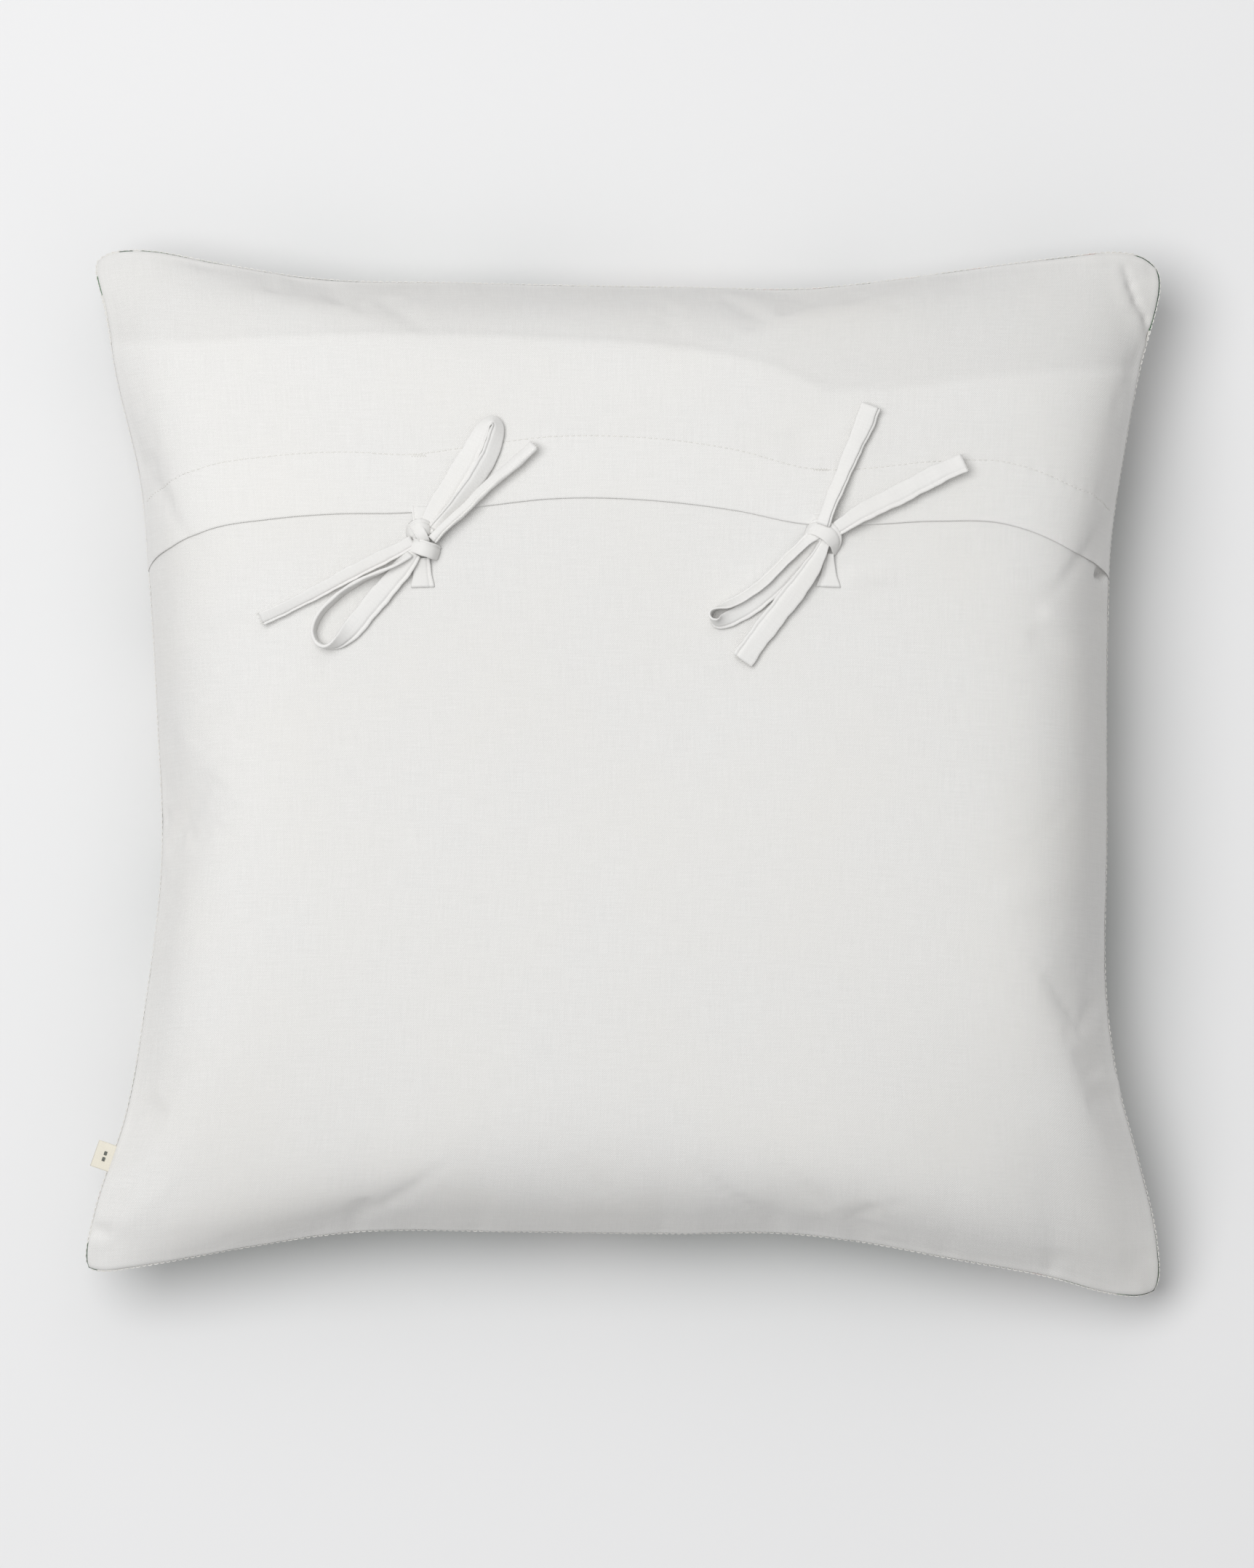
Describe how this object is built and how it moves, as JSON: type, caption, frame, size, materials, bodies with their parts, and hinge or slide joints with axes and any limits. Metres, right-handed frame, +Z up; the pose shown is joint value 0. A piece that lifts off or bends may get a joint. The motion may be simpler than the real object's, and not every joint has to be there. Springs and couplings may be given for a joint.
{
  "type": "floor cushion",
  "caption": "Square floor cushion with an envelope back closed by two bow-tied pairs of cloth ties, lying printed face down.",
  "frame": {"origin": "centre of the bounding box at floor level", "axes": "+Z up, out of the plain back; +X to the right and +Y towards the edge the flap is sewn into, seen from above"},
  "size_m": [0.6, 0.5808, 0.1539],
  "materials": {
    "off_white_canvas": "matt plain weave",
    "printed_canvas": "matt plain weave with a leaf print",
    "insert_cotton": "matt",
    "polyester_fibre": "matt fibre",
    "cotton_thread": "matt",
    "label_tape": "woven tape"
  },
  "bodies": {
    "cushion": {"front_panel": "printed_canvas", "lower_back_panel": "off_white_canvas", "flap_panel": "off_white_canvas", "perimeter_seam_thread": "cotton_thread", "flap_hem_thread": "cotton_thread", "underlap_hem_thread": "cotton_thread", "insert_back_casing": "insert_cotton", "insert_face_casing": "insert_cotton", "insert_seam_thread": "cotton_thread", "fibre_filling": "polyester_fibre", "left_flap_tie": "off_white_canvas", "right_flap_tie": "off_white_canvas", "left_panel_tie": "off_white_canvas", "right_panel_tie": "off_white_canvas", "left_flap_tie_tack": "cotton_thread", "right_flap_tie_tack": "cotton_thread", "left_panel_tie_tack": "cotton_thread", "right_panel_tie_tack": "cotton_thread", "left_bow_knot": "off_white_canvas", "right_bow_knot": "off_white_canvas"},
    "left_bow_upper_ties": {"left_bow_upper_loop": "off_white_canvas", "left_bow_upper_tail": "off_white_canvas"},
    "left_bow_lower_ties": {"left_bow_lower_loop": "off_white_canvas", "left_bow_lower_tail": "off_white_canvas"},
    "right_bow_upper_ties": {"right_bow_upper_loop": "off_white_canvas", "right_bow_upper_tail": "off_white_canvas"},
    "right_bow_lower_ties": {"right_bow_lower_loop": "off_white_canvas", "right_bow_lower_tail": "off_white_canvas"},
    "label": {"side_label": "label_tape"}
  },
  "joints": [
    {"name": "left_bow_upper_lift", "type": "hinge", "parent": "cushion", "child": "left_bow_upper_ties", "pos_m": [-0.1011, 0.1409, 0.1443], "axis": [0.788, -0.6157, 0], "range_deg": [0, 75]},
    {"name": "left_bow_lower_lift", "type": "hinge", "parent": "cushion", "child": "left_bow_lower_ties", "pos_m": [-0.1195, 0.1228, 0.1447], "axis": [-0.5948, 0.8039, 0], "range_deg": [0, 75]},
    {"name": "right_bow_upper_lift", "type": "hinge", "parent": "cushion", "child": "right_bow_upper_ties", "pos_m": [0.1168, 0.1392, 0.1436], "axis": [0.7396, -0.673, 0], "range_deg": [0, 75]},
    {"name": "right_bow_lower_lift", "type": "hinge", "parent": "cushion", "child": "right_bow_lower_ties", "pos_m": [0.1005, 0.1208, 0.1459], "axis": [-0.7513, 0.66, 0], "range_deg": [0, 75]},
    {"name": "label_flip", "type": "hinge", "parent": "cushion", "child": "label", "pos_m": [-0.2818, -0.212, 0.064], "axis": [0.2394, 0.9709, 0], "range_deg": [0, 75]}
  ]
}
